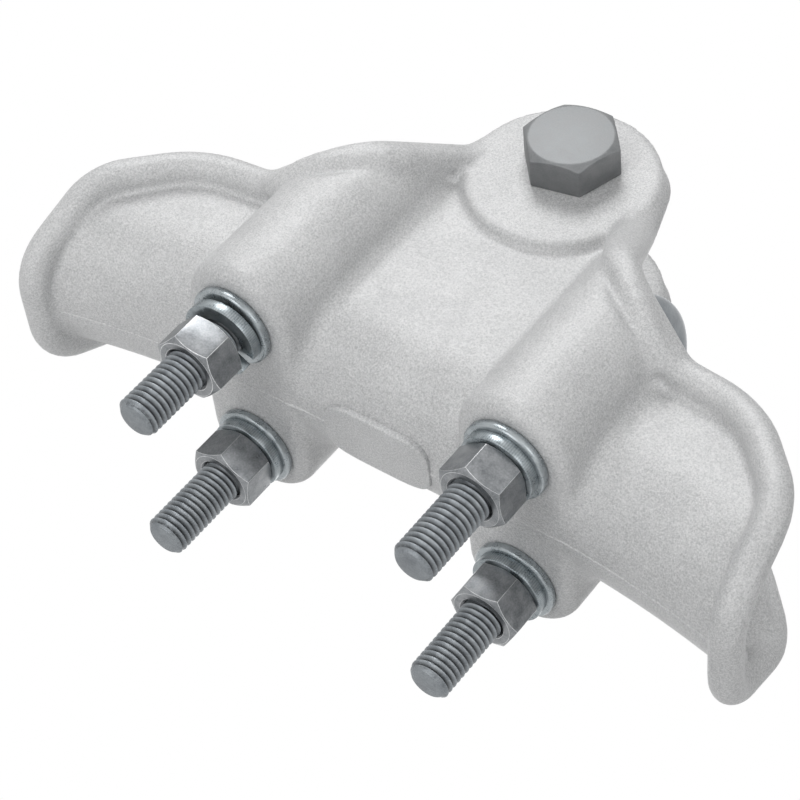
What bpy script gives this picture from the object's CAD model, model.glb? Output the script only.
# %% [markdown]
# A suspension clamp hangs an overhead conductor from a tower: a cast alloy boat carries the
# conductor in its trough, and a keeper, drawn down by two inverted U-bolts, holds it there.
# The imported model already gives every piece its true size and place. This lesson gives the
# pieces the finish that the shop and the foundry leave on them: softened cast corners, cut
# threads, worn hexagons, and metals that differ from one another as they do on the bench.

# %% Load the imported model
import math

import bpy
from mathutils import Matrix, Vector


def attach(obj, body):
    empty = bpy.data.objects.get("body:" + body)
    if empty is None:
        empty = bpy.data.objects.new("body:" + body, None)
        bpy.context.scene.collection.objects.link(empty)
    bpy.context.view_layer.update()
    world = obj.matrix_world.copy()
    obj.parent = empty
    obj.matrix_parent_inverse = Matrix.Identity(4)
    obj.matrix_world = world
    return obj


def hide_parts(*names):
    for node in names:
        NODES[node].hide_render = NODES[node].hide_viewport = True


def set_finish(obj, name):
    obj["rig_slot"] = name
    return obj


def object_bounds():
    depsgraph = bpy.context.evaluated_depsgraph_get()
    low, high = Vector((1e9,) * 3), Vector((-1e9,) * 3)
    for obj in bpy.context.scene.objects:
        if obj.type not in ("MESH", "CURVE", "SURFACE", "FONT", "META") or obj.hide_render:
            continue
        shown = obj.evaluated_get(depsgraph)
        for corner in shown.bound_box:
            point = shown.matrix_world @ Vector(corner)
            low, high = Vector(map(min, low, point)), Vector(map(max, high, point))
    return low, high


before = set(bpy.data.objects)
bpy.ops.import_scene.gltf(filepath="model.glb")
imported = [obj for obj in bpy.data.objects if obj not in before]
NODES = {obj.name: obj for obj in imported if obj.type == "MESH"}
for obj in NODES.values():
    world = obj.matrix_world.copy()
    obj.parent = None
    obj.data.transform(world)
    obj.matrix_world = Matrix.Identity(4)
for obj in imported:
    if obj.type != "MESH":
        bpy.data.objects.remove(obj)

CAD_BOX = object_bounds()
MM = 0.001
LEG_X = 43.0 * MM
LEG_Y = 23.5 * MM
LEGS = {1: (-1, -1), 2: (-1, 1), 3: (1, -1), 4: (1, 1)}
print("nodes", len(NODES), "box in mm", [[round(v / MM, 1) for v in c] for c in CAD_BOX])

# %% [markdown]
# Every operator works on what is selected, so each step starts by clearing the selection
# and naming the one piece it is about. A few short helpers keep that habit in one place.
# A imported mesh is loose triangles, so a copy of one is merged before it is worked on.

# %% Helpers for picking and finishing a piece
SAME_CORNER = 0.0005 * MM


def pick_none():
    for other in bpy.context.selected_objects:
        other.select_set(False)


def pick(piece):
    """Makes this piece the only selected one, and the active one."""
    pick_none()
    piece.select_set(True)
    bpy.context.view_layer.objects.active = piece


def edit(piece):
    """Opens the piece in edit mode with all of it selected."""
    pick(piece)
    bpy.ops.object.mode_set(mode="EDIT")
    bpy.ops.mesh.select_all(action="SELECT")


def close_edit():
    bpy.ops.object.mode_set(mode="OBJECT")


def apply_modifier(piece, kind, **settings):
    """Adds one modifier and bakes it into the mesh at once."""
    pick(piece)
    modifier = piece.modifiers.new(kind.title(), kind)
    for name, value in settings.items():
        setattr(modifier, name, value)
    bpy.ops.object.modifier_apply(modifier=modifier.name)


def twin(node, name):
    """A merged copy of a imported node's mesh, free to be worked on."""
    piece = bpy.data.objects.new(name, NODES[node].data.copy())
    bpy.context.scene.collection.objects.link(piece)
    edit(piece)
    bpy.ops.mesh.remove_doubles(threshold=SAME_CORNER)
    close_edit()
    return piece


SHADE_ANGLE = 35


def shade_smooth(piece):
    """Shades the piece smooth, and leaves the edges that turn by more sharp."""
    pick(piece)
    bpy.ops.object.shade_smooth_by_angle(angle=math.radians(SHADE_ANGLE))


FLAT_TURN = 1


def flatten_and_close():
    """Turns the triangles of each flat face back into one face and closes edit mode."""
    bpy.ops.mesh.select_all(action="SELECT")
    bpy.ops.mesh.dissolve_limited(angle_limit=math.radians(FLAT_TURN))
    close_edit()


def wear_edges(piece, width, least_turn, **settings):
    """Rounds every edge that turns by more than so many degrees."""
    apply_modifier(piece, "BEVEL", width=width, segments=2, limit_method="ANGLE",
                   angle_limit=math.radians(least_turn), **settings)


# %% [markdown]
# Much of what follows starts as an outline scribed point by point, which is then drawn out,
# turned or wound, just as a pattern maker or a turner would begin.

# %% Helpers for scribed outlines
SAME_POINT = 0.001 * MM


def edge_chain(name, points):
    """Scribes an outline: one point, drawn out to the next."""
    pick_none()
    bpy.ops.mesh.primitive_plane_add(size=2 * MM)
    piece = bpy.context.active_object
    piece.name = name
    edit(piece)
    bpy.ops.mesh.merge(type="CENTER")
    bpy.ops.transform.translate(value=points[0])
    for last, here in zip(points, points[1:]):
        step = [h - l for h, l in zip(here, last)]
        bpy.ops.mesh.extrude_region_move(TRANSFORM_OT_translate={"value": step})
    close_edit()
    return piece


def face_outward(piece):
    """Merges doubled points and turns every face outwards."""
    edit(piece)
    bpy.ops.mesh.remove_doubles(threshold=SAME_POINT)
    bpy.ops.mesh.normals_make_consistent(inside=False)
    close_edit()


def scrap(piece):
    bpy.data.objects.remove(piece, do_unlink=True)


def cut(piece, tool, operation):
    """Cuts the piece with a tool, which is used up."""
    apply_modifier(piece, "BOOLEAN", operation=operation, object=tool, solver="EXACT")
    scrap(tool)


def join(main, others):
    """Makes the others part of the main piece."""
    pick(main)
    for other in others:
        other.select_set(True)
    bpy.ops.object.join()
    return main


# %% [markdown]
# The boat is one heavy casting. Under its middle, between the bosses, stands the stub where
# the metal was fed in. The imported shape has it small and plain, so its foot is cut away with
# a cube that serves as the cutter, and a ground patch takes its place further on.

# %% Cast body, its stub cut down
body = twin("clamp_body", "cast_boat")
STUB_CUT = 92.1 * MM
CUTTER = 40.0 * MM
bpy.ops.mesh.primitive_cube_add(size=CUTTER, location=(0, 0, -STUB_CUT - CUTTER / 2))
cut(body, bpy.context.active_object, "DIFFERENCE")

# %% [markdown]
# A round bead strengthens the edge of the walls. On the shoulder, between the ear and the
# wing, the real one stands well proud of the boss, with a crease along its foot. A round
# bar is bent along a line of points, in millimetres on one shoulder, once as the tool that
# cuts the crease and once as the bead itself. The grid of the next step melts the bead into
# the casting.

# %% Bead and crease on the shoulders
SHOULDERS = [(-1, 1), (1, 1), (-1, -1), (1, -1)]
BEAD_R = 3.5 * MM
BEAD_LINE = [(20.5, -22.0, 5.0), (23.5, -23.2, -4.0), (25.8, -25.0, -12.5), (28.2, -28.5, -18.5),
             (30.8, -32.2, -24.0), (33.6, -35.8, -29.8), (36.8, -38.3, -34.8),
             (40.5, -38.8, -38.4), (45.0, -38.8, -41.6), (49.5, -38.0, -44.6),
             (54.0, -35.6, -47.4), (58.0, -32.0, -49.8), (62.5, -28.0, -51.4)]
CREASE_R = 2.8 * MM
CREASE_LINE = [(22.5, -25.5, -20.0), (24.8, -28.2, -22.0), (26.3, -31.3, -25.4),
               (28.8, -35.5, -30.4), (32.1, -39.0, -35.2), (36.2, -41.2, -39.2),
               (41.5, -41.7, -43.7), (47.6, -41.1, -47.9), (51.7, -39.7, -50.0),
               (55.6, -37.9, -51.3), (59.0, -35.7, -52.4), (61.5, -33.3, -53.6),
               (64.0, -30.0, -55.5)]


def bent_bars(name, line, radius):
    """A round bar bent along the line on each of the four shoulders, as one mesh."""
    bars = []
    for side, wall in SHOULDERS:
        bar = edge_chain(name, [(side * x * MM, wall * y * MM, z * MM) for x, y, z in line])
        pick(bar)
        bpy.ops.object.convert(target="CURVE")
        bar = bpy.context.active_object
        bar.data.bevel_depth = radius
        bar.data.bevel_resolution = 4
        bar.data.use_fill_caps = True
        bpy.ops.object.convert(target="MESH")
        bar = bpy.context.active_object
        face_outward(bar)
        bars.append(bar)
    return join(bars[0], bars[1:])


cut(body, bent_bars("crease_tool", CREASE_LINE, CREASE_R), "DIFFERENCE")
join(body, [bent_bars("shoulder_bead", BEAD_LINE, BEAD_R)])
print("body faces before the grid", len(body.data.polygons))

# %% [markdown]
# Nothing in a foundry has a knife-sharp inner corner: the metal draws a fillet wherever two
# faces meet. Rounding hundreds of joints one by one would be slow, so the body is rebuilt
# from a fine grid of cells and then relaxed, which softens every corner by about as much as
# the moulding sand does. The grid must stay finer than the thinnest rim.

# %% Softened corners
GRID = 1.1 * MM


def soften(piece, grid, rounds):
    """Rebuilds the piece from a grid of cells and relaxes it so many times."""
    apply_modifier(piece, "REMESH", mode="VOXEL", voxel_size=grid, use_smooth_shade=True)
    apply_modifier(piece, "SMOOTH", factor=0.5, iterations=rounds)


soften(body, GRID, rounds=3)
print("body faces on the grid", len(body.data.polygons))

# %% [markdown]
# Two marks of the making are left on the keel. Where the metal was fed in, the stub is ground
# flat between the bosses, which leaves a long patch with rounded ends and a crisp edge. Where
# the two halves of the mould met, a thin fin of metal stands along the middle; it is drawn
# out from a small triangle, point by point under the wing and the boss.

# %% Ground stub and parting line on the keel
GROUND_LONG = 17.0 * MM
GROUND_HALF = 8.6 * MM
GROUND_FACE = -92.6 * MM
GROUND_ROOT = -88.0 * MM
GROUND_STEPS = 40
GROUND_WEAR = 0.4 * MM
GROUND_TURN = 60


def patch_point(turn):
    """A point of the patch's outline: an oval whose sides and ends are nearly straight."""
    along = math.copysign(math.sqrt(abs(math.cos(turn))), math.cos(turn))
    across = math.copysign(math.sqrt(abs(math.sin(turn))), math.sin(turn))
    return (GROUND_LONG * along, GROUND_HALF * across, GROUND_ROOT)


patch = edge_chain("ground_patch", [patch_point(2 * math.pi * i / GROUND_STEPS)
                                    for i in range(GROUND_STEPS + 1)])
edit(patch)
bpy.ops.mesh.remove_doubles(threshold=SAME_POINT)
bpy.ops.mesh.select_all(action="SELECT")
bpy.ops.mesh.edge_face_add()
bpy.ops.mesh.extrude_region_move(
    TRANSFORM_OT_translate={"value": (0, 0, GROUND_FACE - GROUND_ROOT)})
close_edit()
face_outward(patch)
wear_edges(patch, GROUND_WEAR, GROUND_TURN)

# The keel is level in the middle and bends down from the U-bolts on, about a far axis, and
# each boss has a foot that reaches a little lower.
KEEL_Z = -92.0 * MM
BEND_RADIUS = 276.0 * MM
BOSS_FOOT = -92.5 * MM
BOSS_FROM, BOSS_TO = 29.0 * MM, 57.0 * MM


def keel_height(x):
    """Level of the keel's lowest line at a distance from the middle."""
    drop = BEND_RADIUS - math.sqrt(BEND_RADIUS ** 2 - max(x - LEG_X, 0.0) ** 2)
    level = KEEL_Z - drop
    return min(level, BOSS_FOOT) if BOSS_FROM < x < BOSS_TO else level


# The fin's stops along the keel, half its width at the root, how deep its root lies in the
# casting and how far its edge stands out.
FIN_STOPS = [16, 24, 29.1, 42, 56.9, 58, 64, 70, 76, 82, 88, 94, 99, 104]
FIN_HALF = 0.6 * MM
FIN_ROOT = 0.4 * MM
FIN_EDGE = 0.28 * MM
fins = []
for side in (-1, 1):
    first = FIN_STOPS[0] * MM
    ring = [(side * first, -FIN_HALF, keel_height(first) + FIN_ROOT),
            (side * first, FIN_HALF, keel_height(first) + FIN_ROOT),
            (side * first, 0.0, keel_height(first) - FIN_EDGE)]
    fin = edge_chain("parting_line", ring)
    edit(fin)
    bpy.ops.mesh.edge_face_add()
    for last, here in zip(FIN_STOPS, FIN_STOPS[1:]):
        step = (side * (here - last) * MM, 0, keel_height(here * MM) - keel_height(last * MM))
        bpy.ops.mesh.extrude_region_move(TRANSFORM_OT_translate={"value": step})
    close_edit()
    face_outward(fin)
    fins.append(fin)
join(body, [patch, *fins])
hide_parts("clamp_body")
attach(body, "boat")
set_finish(body, "cast_alloy")
print("cast body faces", len(body.data.polygons))

# %% [markdown]
# The keeper comes from the same sand, so it gets the same softening on a finer grid: it is
# a smaller casting, and its grooves for the U-bolts must keep their edges.

# %% Keeper with softened corners
KEEPER_GRID = 0.8 * MM
keeper = twin("keeper", "keeper_casting")
soften(keeper, KEEPER_GRID, rounds=4)
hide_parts("keeper")
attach(keeper, "press")
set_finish(keeper, "cast_alloy")
print("keeper faces", len(keeper.data.polygons))

# %% [markdown]
# A thread is one tooth carried round the bar and along it at the same time. The die does
# just that, and so does a screw modifier: it takes the outline of one tooth, one pitch
# long, and repeats it turn after turn. The bar's pointed end was there before the die came,
# so the threaded bar is cut to a turned blank with a chamfer.

# %% Helpers for turned and threaded work
# Points round a turn, turns made beyond each end, how far the blank is wider than the crest,
# and the small worn lip where the chamfer meets the flat end.
THREAD_STEPS = 32
SPARE_TURNS = 2
BLANK_OVER = 0.2 * MM
TIP_LIP = 0.12 * MM
TIP_WEAR = 0.4 * MM


def lathe(name, outline):
    """A solid turned about Z from (radius, height) points that begin and end on the axis."""
    piece = edge_chain(name, [(radius, 0, height) for radius, height in outline])
    apply_modifier(piece, "SCREW", axis="Z", screw_offset=0.0, steps=THREAD_STEPS,
                   render_steps=THREAD_STEPS)
    face_outward(piece)
    return piece


def threaded_bar(name, crest, root, pitch, inner, tip, chamfer):
    """A threaded bar along Z, from its inner end down to the chamfered tip."""
    low = tip - SPARE_TURNS * pitch
    turns = int((inner - tip) / pitch) + 2 * SPARE_TURNS
    # One tooth: up its flank, along its crest, down again and along the root.
    tooth = [(root, 0.0), (crest, 0.36), (crest, 0.50), (root, 0.86), (root, 1.0)]
    bar = edge_chain(name, [(radius, 0, low + part * pitch) for radius, part in tooth])
    apply_modifier(bar, "SCREW", axis="Z", screw_offset=pitch, iterations=turns,
                   steps=THREAD_STEPS, render_steps=THREAD_STEPS)
    edit(bar)
    bpy.ops.mesh.remove_doubles(threshold=SAME_POINT)
    bpy.ops.mesh.bisect(plane_co=(0, 0, tip - pitch / 2), plane_no=(0, 0, 1),
                        use_fill=True, clear_inner=True)
    bpy.ops.mesh.select_all(action="SELECT")
    bpy.ops.mesh.bisect(plane_co=(0, 0, inner + pitch / 2), plane_no=(0, 0, 1),
                        use_fill=True, clear_outer=True)
    close_edit()
    face_outward(bar)
    wide = crest + BLANK_OVER
    flat = crest - chamfer
    blank = lathe("blank", [(0, inner), (wide, inner), (wide, tip + chamfer + BLANK_OVER),
                            (flat, tip + TIP_LIP), (flat - TIP_WEAR, tip), (0, tip)])
    cut(bar, blank, "INTERSECT")
    return bar


def copy_to(piece, name, place, turn):
    """A copy with its own mesh, turned about Z and carried to its place in edit mode."""
    made = bpy.data.objects.new(name, piece.data.copy())
    bpy.context.scene.collection.objects.link(made)
    edit(made)
    bpy.ops.transform.rotate(value=turn, orient_axis="Z", center_override=(0, 0, 0))
    bpy.ops.transform.translate(value=place)
    close_edit()
    return made


# %% [markdown]
# Each U-bolt is a bent bar with a rolled M12 thread on both legs, at 1.75 mm a turn. The
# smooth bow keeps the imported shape; below the boss floor the legs are cut off and the
# threaded bar takes their place. It is made once and copied to all four legs, each time
# turned by so many radians for its U-bolt and its side, since no two threads start alike.

# %% U-bolts with rolled threads
THREAD_TOP = -89.0 * MM
LEG_TIP = -132.8 * MM
BOLT_TURN, SIDE_TURN = 1.1, 0.7
leg_thread = threaded_bar("leg_thread", crest=5.96 * MM, root=4.98 * MM, pitch=1.75 * MM,
                          inner=THREAD_TOP, tip=LEG_TIP, chamfer=1.3 * MM)
u_bolts = {}
for name, side in (("u_bolt_left", -1), ("u_bolt_right", 1)):
    bolt = twin(name, name + "_bar")
    edit(bolt)
    bpy.ops.mesh.bisect(plane_co=(0, 0, THREAD_TOP - MM), plane_no=(0, 0, 1),
                        use_fill=True, clear_inner=True)
    close_edit()
    ends = [copy_to(leg_thread, "leg", (side * LEG_X, way * LEG_Y, 0),
                    BOLT_TURN * side + SIDE_TURN * way) for way in (-1, 1)]
    join(bolt, ends)
    shade_smooth(bolt)
    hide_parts(name)
    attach(bolt, "press")
    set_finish(bolt, "bolt_zinc")
    u_bolts[name] = bolt
scrap(leg_thread)
print("U-bolt faces", len(u_bolts["u_bolt_left"].data.polygons))

# %% [markdown]
# The hang bolt is an M16 bolt whose end, beyond the nut, is threaded at 2 mm a turn and
# drilled for the split pin. The thread is cut upright and laid down along the bolt.

# %% Hang bolt with its thread and pin hole
BOLT_END = 54.3 * MM
PIN_Y = 49.3 * MM
PIN_HOLE_R = 2.0 * MM
hang_thread = threaded_bar("hang_thread", crest=7.96 * MM, root=6.8 * MM, pitch=2.0 * MM,
                           inner=-38.0 * MM, tip=-BOLT_END, chamfer=1.4 * MM)
edit(hang_thread)
bpy.ops.transform.rotate(value=-math.pi / 2, orient_axis="X", center_override=(0, 0, 0))
close_edit()
bpy.ops.mesh.primitive_cylinder_add(
    vertices=32, radius=PIN_HOLE_R, depth=CUTTER, location=(0, PIN_Y, 0))
cut(hang_thread, bpy.context.active_object, "DIFFERENCE")

SMOOTH_END = 39.0 * MM
BOLT_WEAR = 0.35 * MM
WORN_TURN = 25
hang_bolt = twin("hang_bolt", "hang_bolt_bar")
edit(hang_bolt)
bpy.ops.mesh.bisect(plane_co=(0, SMOOTH_END, 0), plane_no=(0, 1, 0),
                    use_fill=True, clear_outer=True)
flatten_and_close()
wear_edges(hang_bolt, BOLT_WEAR, WORN_TURN)
join(hang_bolt, [hang_thread])
shade_smooth(hang_bolt)
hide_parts("hang_bolt")
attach(hang_bolt, "hanger")
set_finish(hang_bolt, "bolt_zinc")
print("hang bolt faces", len(hang_bolt.data.polygons))

# %% [markdown]
# Forged and tumbled hardware has no sharp corner left: every edge of a nut or washer is worn
# to a small round that catches the light. A bevel on the edges that turn by more than 25
# degrees gives it, and leaves the small facets of the round faces alone. The rounds get a
# material slot of their own, so that those of the nuts can shine.

# %% Nuts and washers with worn edges
NUT_WEAR = 0.28 * MM
FLAT_WEAR = 0.35 * MM
SPRING_WEAR = 0.5 * MM
HANGER_WEAR = 0.3 * MM


def worn(node, body_name, slot, width):
    """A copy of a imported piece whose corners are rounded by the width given."""
    piece = twin(node, node + "_worn")
    edit(piece)
    flatten_and_close()
    piece.data.materials.clear()
    for spare in range(2):
        piece.data.materials.append(None)
    wear_edges(piece, width, WORN_TURN, material=1)
    shade_smooth(piece)
    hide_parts(node)
    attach(piece, body_name)
    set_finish(piece, slot)
    return piece


# Degrees by which each spring washer is turned on its leg, so that the free coil's end shows
# and the closed splits lie away from the light.
SPRING_TURN = {1: 179.0, 2: -150.0, 3: 0.0, 4: 120.0}
worn_pieces = {}
for number, (side, way) in LEGS.items():
    for kind, body_name, slot, width in (("nut", "nut_%d" % number, "nut_zinc", NUT_WEAR),
                                         ("flat_washer", "boat", "washer_zinc", FLAT_WEAR),
                                         ("spring_washer", "boat", "spring_zinc", SPRING_WEAR)):
        node = "%s_%d" % (kind, number)
        worn_pieces[node] = worn(node, body_name, slot, width)
        if kind == "spring_washer" and SPRING_TURN[number]:
            edit(worn_pieces[node])
            bpy.ops.transform.rotate(value=math.radians(SPRING_TURN[number]), orient_axis="Z",
                                     center_override=(side * LEG_X, way * LEG_Y, 0))
            close_edit()
worn_pieces["hang_nut"] = worn("hang_nut", "hanger", "nut_zinc", HANGER_WEAR)
worn_pieces["hang_washer"] = worn("hang_washer", "hanger", "washer_zinc", HANGER_WEAR)
print("worn pieces", len(worn_pieces))

# %% [markdown]
# Every finish is built from a few kinds of node: noise for what is uneven, a ramp that gives
# it a range, sums and products that combine it, a mix of two tones and a bump. Short helpers
# add one node each and join it up, so that a finish reads like a list of its causes. All of
# them start from Object coordinates, which stay with the piece when it moves.


# %% Shared node helpers
def new_material(name):
    """A material with its nodes, links and shader, and the place of each point."""
    made = bpy.data.materials.new(name)
    made.use_nodes = True
    nodes = made.node_tree.nodes
    links = made.node_tree.links
    shader = nodes["Principled BSDF"]
    place = nodes.new("ShaderNodeTexCoord").outputs["Object"]
    return made, nodes, links, shader, place


def noise(nodes, links, vector, scale, detail, rough):
    made = nodes.new("ShaderNodeTexNoise")
    made.inputs["Scale"].default_value = scale
    made.inputs["Detail"].default_value = detail
    made.inputs["Roughness"].default_value = rough
    links.new(vector, made.inputs["Vector"])
    return made.outputs["Fac"]


def ramp(nodes, links, factor, low, high, start, end):
    """Goes from low to high while the factor goes from start to end."""
    made = nodes.new("ShaderNodeMapRange")
    made.inputs["From Min"].default_value = start
    made.inputs["From Max"].default_value = end
    made.inputs["To Min"].default_value = low
    made.inputs["To Max"].default_value = high
    links.new(factor, made.inputs["Value"])
    return made.outputs["Result"]


def combine(nodes, links, kind, a, b=0.0):
    """One sum, product or other function of sockets or plain numbers."""
    made = nodes.new("ShaderNodeMath")
    made.operation = kind
    for socket, value in zip(made.inputs, (a, b)):
        if isinstance(value, (int, float)):
            socket.default_value = value
        else:
            links.new(value, socket)
    return made.outputs["Value"]


def colour_mix(nodes, blend="MIX"):
    made = nodes.new("ShaderNodeMix")
    made.data_type = "RGBA"
    made.blend_type = blend
    return made


def tint(nodes, links, factor, dark, light):
    """A tone between the dark and the light one."""
    made = colour_mix(nodes)
    links.new(factor, made.inputs["Factor"])
    made.inputs["A"].default_value = (*dark, 1)
    made.inputs["B"].default_value = (*light, 1)
    return made.outputs["Result"]


def multiply_colour(nodes, links, colour, shade):
    """The colour made darker or lighter by the shade."""
    made = colour_mix(nodes, "MULTIPLY")
    made.inputs["Factor"].default_value = 1.0
    links.new(colour, made.inputs["A"])
    links.new(shade, made.inputs["B"])
    return made.outputs["Result"]


def bump(nodes, links, height, depth, strength):
    made = nodes.new("ShaderNodeBump")
    made.inputs["Strength"].default_value = strength
    made.inputs["Distance"].default_value = depth
    links.new(height, made.inputs["Height"])
    return made.outputs["Normal"]


# %% [markdown]
# The cast alloy is matt and slightly sparkling: its skin is a field of tiny pits left by the
# shot that cleaned it. Two noises of different grain drive a fine bump and a faint change of
# tone, and a slower one gives the cloudiness of a large casting.


# %% Cast alloy
def cast_alloy():
    made, nodes, links, shader, place = new_material("cast_alloy")
    fine = noise(nodes, links, place, scale=4200.0, detail=1.0, rough=0.6)
    coarse = noise(nodes, links, place, scale=1900.0, detail=1.0, rough=0.5)
    cloud = noise(nodes, links, place, scale=60.0, detail=3.0, rough=0.55)
    grain = combine(nodes, links, "ADD", combine(nodes, links, "MULTIPLY", fine, 0.6),
                    combine(nodes, links, "MULTIPLY", coarse, 0.6))
    tone = combine(nodes, links, "ADD", combine(nodes, links, "MULTIPLY", grain, 0.72),
                   combine(nodes, links, "MULTIPLY", cloud, 0.14))
    factor = ramp(nodes, links, tone, low=0.0, high=1.0, start=0.36, end=0.64)
    colour = tint(nodes, links, factor, dark=(0.42, 0.425, 0.43), light=(0.74, 0.74, 0.74))
    links.new(colour, shader.inputs["Base Color"])
    shader.inputs["Metallic"].default_value = 0.2
    rough = ramp(nodes, links, grain, low=0.44, high=0.60, start=0.4, end=0.8)
    links.new(rough, shader.inputs["Roughness"])
    pits = bump(nodes, links, grain, depth=0.16 * MM, strength=1.0)
    links.new(pits, shader.inputs["Normal"])
    return made


# %% [markdown]
# Zinc is thicker and duller at the bottom of a thread, and rubbed bright on its crests. So
# the tone of a threaded leg follows the distance from the leg's own axis, which the shader
# can work out from the place of each point: both legs of both U-bolts stand at the same
# distance from the middle, so folding the two directions serves all four.


# %% Thread tone
def away_from(nodes, links, a, b):
    """Distance from an axis, from the two distances square to it."""
    squares = [combine(nodes, links, "MULTIPLY", value, value) for value in (a, b)]
    return combine(nodes, links, "SQRT", combine(nodes, links, "ADD", *squares))


def split_axes(nodes, links, place):
    axes = nodes.new("ShaderNodeSeparateXYZ")
    links.new(place, axes.inputs[0])
    return axes.outputs


def from_leg(nodes, links, axes):
    """How far a point lies from its leg's axis, along and across the clamp."""
    return [combine(nodes, links, "SUBTRACT", combine(nodes, links, "ABSOLUTE", axis), middle)
            for axis, middle in ((axes["X"], LEG_X), (axes["Y"], LEG_Y))]


CHIP_REACH = 2.4 * MM


def leg_tone(nodes, links, place, colour):
    """Dark thread roots and bright crests below the boss, and a chipped tip."""
    axes = split_axes(nodes, links, place)
    radius = away_from(nodes, links, *from_leg(nodes, links, axes))
    shade = ramp(nodes, links, radius, low=0.22, high=1.25, start=5.0 * MM, end=5.9 * MM)
    toned = multiply_colour(nodes, links, colour, shade)
    below = ramp(nodes, links, axes["Z"], low=1.0, high=0.0,
                 start=THREAD_TOP - 2 * MM, end=THREAD_TOP)
    chips = noise(nodes, links, place, scale=900.0, detail=3.0, rough=0.7)
    reach = combine(nodes, links, "MULTIPLY", chips, CHIP_REACH)
    worn_z = combine(nodes, links, "SUBTRACT", axes["Z"], reach)
    tip = ramp(nodes, links, worn_z, low=1.0, high=0.0,
               start=LEG_TIP - 0.6 * MM, end=LEG_TIP + 0.3 * MM)
    below = combine(nodes, links, "SUBTRACT", below, tip)
    made = colour_mix(nodes)
    links.new(below, made.inputs["Factor"])
    links.new(colour, made.inputs["A"])
    links.new(toned, made.inputs["B"])
    return made.outputs["Result"]


# %% [markdown]
# A spring washer is coiled from flat wire, and the coiling leaves fine upright lines on its
# rim. A sine of the angle round the leg draws them, on what lies further out than the flat
# faces reach.

# %% Tool marks on the spring washers' rim
MARKS_ROUND = 100.0
MARK_DEPTH = 0.18
RIM_START = 10.1 * MM


def edge_marks(nodes, links, place, colour):
    """Fine upright lines left on the rim where the wire was drawn and coiled."""
    aside = from_leg(nodes, links, split_axes(nodes, links, place))
    angle = combine(nodes, links, "ARCTAN2", aside[1], aside[0])
    wave = combine(nodes, links, "SINE", combine(nodes, links, "MULTIPLY", angle, MARKS_ROUND))
    on_rim = ramp(nodes, links, away_from(nodes, links, *aside), low=0.0, high=1.0,
                  start=RIM_START, end=RIM_START + 0.1 * MM)
    shade = combine(nodes, links, "ADD", 1.0, combine(
        nodes, links, "MULTIPLY", combine(nodes, links, "MULTIPLY", wave, on_rim), MARK_DEPTH))
    return multiply_colour(nodes, links, colour, shade)


# %% [markdown]
# The fasteners are coated with zinc, and no two batches look the same: the hang bolt is
# dull, a flat washer is smoother and paler, and a worn edge shines. One recipe serves them
# all, with its own two tones, roughness and grain for each. The split pin is plain steel,
# and the same recipe gives it too.

# %% Zinc finishes
GRAIN_FINER = 8


def zinc(name, dark, light, roughness, depth, scale, marks=None):
    """A coat mottled between two tones, with a finer grain and any marks on top."""
    made, nodes, links, shader, place = new_material(name)
    mottle = noise(nodes, links, place, scale, detail=3.0, rough=0.6)
    grain = noise(nodes, links, place, scale * GRAIN_FINER, detail=2.0, rough=0.5)
    mixed = combine(nodes, links, "ADD", combine(nodes, links, "MULTIPLY", mottle, 0.7),
                    combine(nodes, links, "MULTIPLY", grain, 0.3))
    factor = ramp(nodes, links, mixed, low=0, high=1, start=0.35, end=0.65)
    colour = tint(nodes, links, factor, dark, light)
    if marks:
        colour = marks(nodes, links, place, colour)
    links.new(colour, shader.inputs["Base Color"])
    shader.inputs["Metallic"].default_value = 0.8
    rough = ramp(nodes, links, mixed, low=roughness - 0.06, high=roughness + 0.08,
                 start=0.3, end=0.7)
    links.new(rough, shader.inputs["Roughness"])
    links.new(bump(nodes, links, grain, depth, strength=0.7), shader.inputs["Normal"])
    return made


ALLOY = cast_alloy()
BOLT = zinc("bolt_zinc", dark=(0.175, 0.183, 0.187), light=(0.24, 0.244, 0.248),
            roughness=0.55, depth=0.03 * MM, scale=260.0)
LEG = zinc("leg_zinc", dark=(0.17, 0.185, 0.20), light=(0.28, 0.30, 0.315),
           roughness=0.42, depth=0.03 * MM, scale=260.0, marks=leg_tone)
NUT = zinc("nut_zinc", dark=(0.17, 0.18, 0.19), light=(0.31, 0.32, 0.33),
           roughness=0.33, depth=0.03 * MM, scale=260.0)
EDGE = zinc("worn_zinc", dark=(0.40, 0.41, 0.415), light=(0.86, 0.87, 0.88),
            roughness=0.34, depth=0.02 * MM, scale=500.0)
WASHER = zinc("washer_zinc", dark=(0.24, 0.27, 0.285), light=(0.40, 0.43, 0.445),
              roughness=0.28, depth=0.015 * MM, scale=300.0)
SPRING = zinc("spring_zinc", dark=(0.20, 0.23, 0.245), light=(0.36, 0.39, 0.405),
              roughness=0.30, depth=0.02 * MM, scale=300.0, marks=edge_marks)
PIN = zinc("pin_steel", dark=(0.45, 0.45, 0.45), light=(0.6, 0.6, 0.6),
           roughness=0.35, depth=0.01 * MM, scale=300.0)
print("zinc finishes", [finish.name for finish in (BOLT, LEG, NUT, EDGE, WASHER, SPRING, PIN)])

# %% [markdown]
# The pieces are dressed last. A nut carries its coat in the first slot and the bright worn
# edge in the second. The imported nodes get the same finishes, among them the split pin, which
# is shown as it is.


# %% Each piece in its finish
def dress(piece, material):
    """Gives the piece one material all over."""
    piece.data.materials.clear()
    piece.data.materials.append(material)


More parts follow.
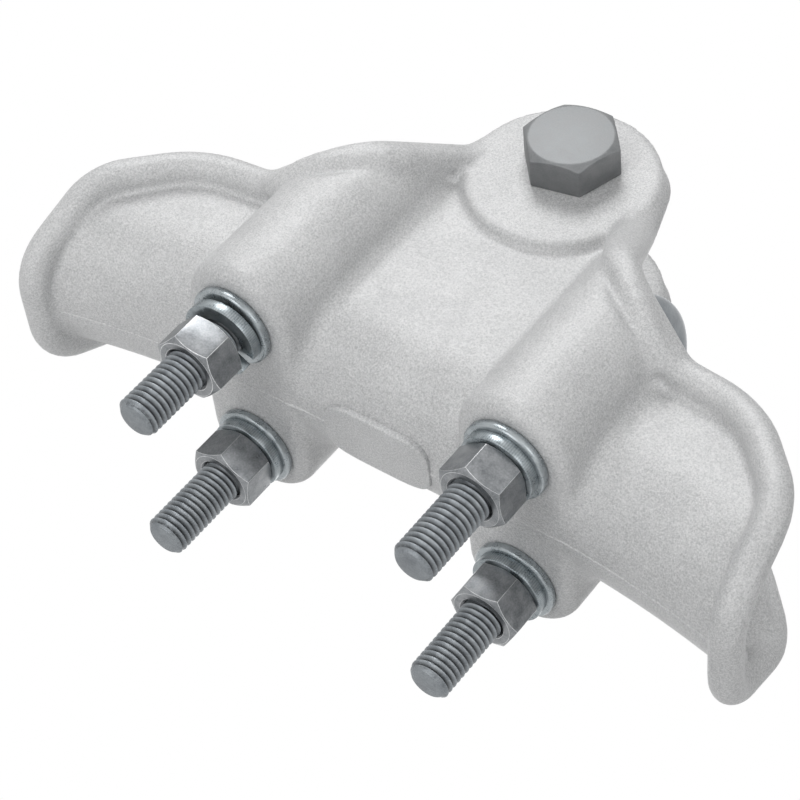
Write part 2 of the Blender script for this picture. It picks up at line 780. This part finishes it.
dress(body, ALLOY)
dress(keeper, ALLOY)
dress(hang_bolt, BOLT)
for bolt in u_bolts.values():
    dress(bolt, LEG)
SLOT_FINISH = {"nut_zinc": (NUT, EDGE), "washer_zinc": (WASHER, WASHER),
               "spring_zinc": (SPRING, SPRING)}
for piece in worn_pieces.values():
    for place_in, finish in enumerate(SLOT_FINISH[piece["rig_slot"]]):
        piece.data.materials[place_in] = finish
FINISHES = {"clamp_body": ALLOY, "keeper": ALLOY, "u_bolt_left": BOLT, "u_bolt_right": BOLT,
            "hang_bolt": BOLT, "hang_nut": NUT, "hang_washer": WASHER, "cotter_pin": PIN}
for number in LEGS:
    FINISHES["flat_washer_%d" % number] = WASHER
    FINISHES["spring_washer_%d" % number] = SPRING
    FINISHES["nut_%d" % number] = NUT
for node, finish in FINISHES.items():
    dress(NODES[node], finish)
print("finishes", sorted({piece.name for piece in FINISHES.values()}))

# %% [markdown]
# The floor lies just under the stud tips. The portrait looks up from below it, so the floor
# is clear when seen from underneath, and it lets lamp light and mirror rays pass, since a
# real clamp would be photographed in mid-air. From above it is plain pale paper.

# %% Floor
FLOOR_GAP = 1.5 * MM
FLOOR_Z = CAD_BOX[0].z - FLOOR_GAP
FLOOR_SIZE = 6.0
pick_none()
bpy.ops.mesh.primitive_plane_add(size=FLOOR_SIZE, location=(0, 0, FLOOR_Z))
floor = bpy.context.active_object
floor.name = "floor"
paper, nodes, links, shader = new_material("floor_paper")[:4]
shader.inputs["Base Color"].default_value = (0.92, 0.92, 0.92, 1)
shader.inputs["Roughness"].default_value = 0.9
clear = nodes.new("ShaderNodeBsdfTransparent")
mix = nodes.new("ShaderNodeMixShader")
path = nodes.new("ShaderNodeLightPath")
FLOOR_GLOW = 0.42
shader.inputs["Emission Color"].default_value = (1, 1, 1, 1)
links.new(combine(nodes, links, "MULTIPLY", path.outputs["Is Camera Ray"], FLOOR_GLOW),
          shader.inputs["Emission Strength"])
passing = combine(nodes, links, "MAXIMUM", path.outputs["Is Shadow Ray"],
                  path.outputs["Is Glossy Ray"])
under_side = nodes.new("ShaderNodeNewGeometry").outputs["Backfacing"]
links.new(combine(nodes, links, "MAXIMUM", passing, under_side), mix.inputs["Fac"])
links.new(shader.outputs["BSDF"], mix.inputs[1])
links.new(clear.outputs["BSDF"], mix.inputs[2])
links.new(mix.outputs["Shader"], nodes["Material Output"].inputs["Surface"])
dress(floor, paper)
print("floor level in mm", round(FLOOR_Z / MM, 1))

# %% [markdown]
# The world has two faces. What the camera, a mirror ray or a ray through glass sees is plain
# white, as in a catalogue, and what lights the clamp is a dim, slightly cool sky.

# %% World
world = bpy.data.worlds.new("studio")
bpy.context.scene.world = world
world.use_nodes = True
nodes = world.node_tree.nodes
links = world.node_tree.links
sky = nodes["Background"]
sky.inputs["Color"].default_value = (0.62, 0.63, 0.64, 1)
sky.inputs["Strength"].default_value = 0.27
white = nodes.new("ShaderNodeBackground")
white.inputs["Color"].default_value = (1, 1, 1, 1)
white.inputs["Strength"].default_value = 1.0
choose = nodes.new("ShaderNodeMixShader")
path = nodes.new("ShaderNodeLightPath")
seen = combine(nodes, links, "MAXIMUM", path.outputs["Is Camera Ray"],
               path.outputs["Is Glossy Ray"])
seen = combine(nodes, links, "MAXIMUM", seen, path.outputs["Is Transmission Ray"])
links.new(seen, choose.inputs["Fac"])
links.new(sky.outputs["Background"], choose.inputs[1])
links.new(white.outputs["Background"], choose.inputs[2])
links.new(choose.outputs["Shader"], nodes["World Output"].inputs["Surface"])

# %% [markdown]
# Four soft lamps at a plain level: the key from the upper left gives the beads their bright
# side, the fill opens the bosses, one from below lights the studs, and one lights the back.


# %% Lamps
def lamp(name, place, aim, size, power):
    """A round soft lamp, its size in metres and its power in watts."""
    data = bpy.data.lights.new(name, "AREA")
    data.shape = "DISK"
    data.size = size
    data.energy = power
    made = bpy.data.objects.new(name, data)
    bpy.context.scene.collection.objects.link(made)
    made.location = place
    direction = Vector(aim) - Vector(place)
    made.rotation_euler = direction.to_track_quat("-Z", "Y").to_euler()


MIDDLE = (0.0, 0.0, -0.055)
lamp("key", (-0.45, -0.85, 0.55), MIDDLE, size=0.5, power=5.7)
lamp("fill", (0.9, -0.65, -0.1), MIDDLE, size=0.6, power=2.2)
lamp("under", (-0.1, -0.75, -0.85), MIDDLE, size=0.6, power=3.0)
lamp("back", (-0.35, 0.85, 0.55), MIDDLE, size=0.9, power=3.0)

# %% [markdown]
# The camera stands below and to the right of the clamp, as for a catalogue picture that
# shows the studs. Its place was worked out from the corners of the nuts and the bolt head,
# and its turn is in degrees.

# %% Camera
CAMERA_PLACE = (287.1 * MM, -476.3 * MM, -402.5 * MM)
CAMERA_TURN = (128.804, -36.291, 6.055)
view = bpy.data.cameras.new("camera")
view.sensor_width = 36.0
view.lens = 111.21
camera = bpy.data.objects.new("camera", view)
bpy.context.scene.collection.objects.link(camera)
camera.location = CAMERA_PLACE
camera.rotation_euler = [math.radians(a) for a in CAMERA_TURN]
view.clip_start = 0.01
view.clip_end = 20.0
bpy.context.scene.camera = camera
bpy.context.scene.view_settings.view_transform = "Standard"
print("camera", [round(v / MM, 1) for v in camera.location], "lens", view.lens)
